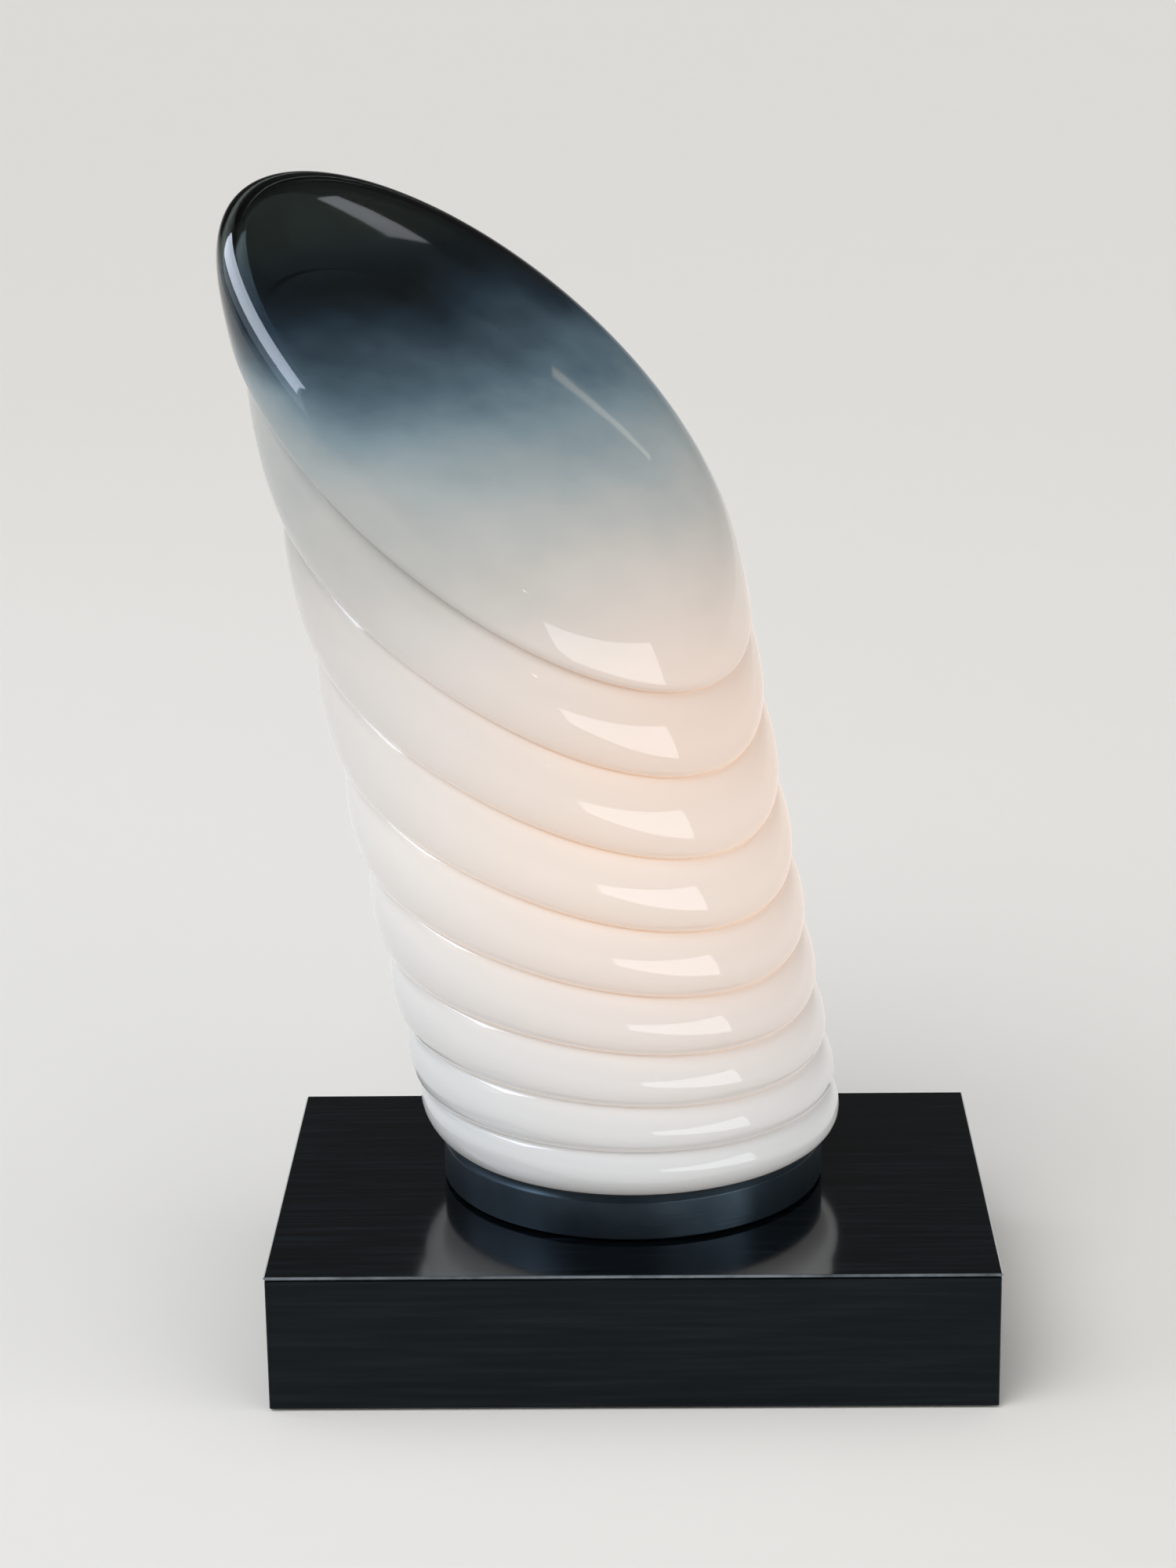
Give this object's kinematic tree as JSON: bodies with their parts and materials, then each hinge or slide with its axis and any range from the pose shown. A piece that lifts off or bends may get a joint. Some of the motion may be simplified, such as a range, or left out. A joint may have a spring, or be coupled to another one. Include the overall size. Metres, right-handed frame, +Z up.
{
  "type": "table lamp",
  "caption": "Table lamp with a leaning, ribbed, clear-to-opal glass shade standing in a turned metal collar on a low rectangular black box base.",
  "frame": {"origin": "centre of the base's footprint, on the plane of the table", "axes": "+Z up, +X to the right and -Y to the front as the lamp is pictured; the shade leans to the left and back"},
  "size_m": [0.3193, 0.2408, 0.4806],
  "materials": {
    "base_lacquer": "satin",
    "felt": "matte",
    "zinc_steel": "satin",
    "nickel": "gloss",
    "black_plastic": "matte",
    "white_plastic": "matte",
    "brass": "satin",
    "brown_wire": "satin",
    "blue_wire": "satin",
    "green_wire": "satin",
    "collar_bronze": "satin",
    "brown_rubber": "matte",
    "ceramic": "matte",
    "opal_cover": "matte",
    "opal_glass": "gloss"
  },
  "bodies": {
    "stand": {"base_top": "base_lacquer", "base_front": "base_lacquer", "base_back": "base_lacquer", "base_left": "base_lacquer", "base_right": "base_lacquer", "base_bottom": "base_lacquer", "table_felt": "felt", "corner_block_front_left": "zinc_steel", "corner_block_front_right": "zinc_steel", "corner_block_back_left": "zinc_steel", "corner_block_back_right": "zinc_steel", "cover_screw_front_left": "zinc_steel", "cover_screw_front_right": "zinc_steel", "cover_screw_back_left": "zinc_steel", "cover_screw_back_right": "zinc_steel", "cord_bushing": "black_plastic", "terminal_block": "white_plastic", "terminal_fixing_screw": "zinc_steel", "terminal_clamp_screw_1": "brass", "terminal_clamp_screw_2": "brass", "terminal_clamp_screw_3": "brass", "earth_screw": "brass", "lead_live": "brown_wire", "lead_neutral": "blue_wire", "lead_earth": "green_wire", "stem_tube": "brass", "stem_washer_lower": "zinc_steel", "stem_nut_lower": "zinc_steel", "stem_washer_upper": "zinc_steel", "stem_nut_upper": "zinc_steel", "holder_nut": "zinc_steel", "collar_disc": "collar_bronze", "collar_ring": "collar_bronze", "ring_screw_1": "zinc_steel", "ring_screw_2": "zinc_steel", "ring_screw_3": "zinc_steel", "glass_gasket": "brown_rubber", "holder_cap": "black_plastic", "holder_body": "black_plastic", "holder_insulator": "ceramic", "holder_shell": "brass", "holder_contact": "brass"},
    "bulb": {"bulb_contact": "zinc_steel", "bulb_insulator": "black_plastic", "bulb_cap": "nickel", "bulb_housing": "white_plastic", "bulb_led_board": "white_plastic", "bulb_dome": "opal_cover"},
    "shade": {"glass_shade": "opal_glass"}
  },
  "joints": [
    {"name": "shade_lift", "type": "slide", "parent": "stand", "child": "shade", "axis": [0, 0, 1], "range_m": [0, 0.2]},
    {"name": "bulb_withdraw", "type": "slide", "parent": "stand", "child": "bulb", "axis": [0, 0, 1], "range_m": [0, 0.03]}
  ]
}
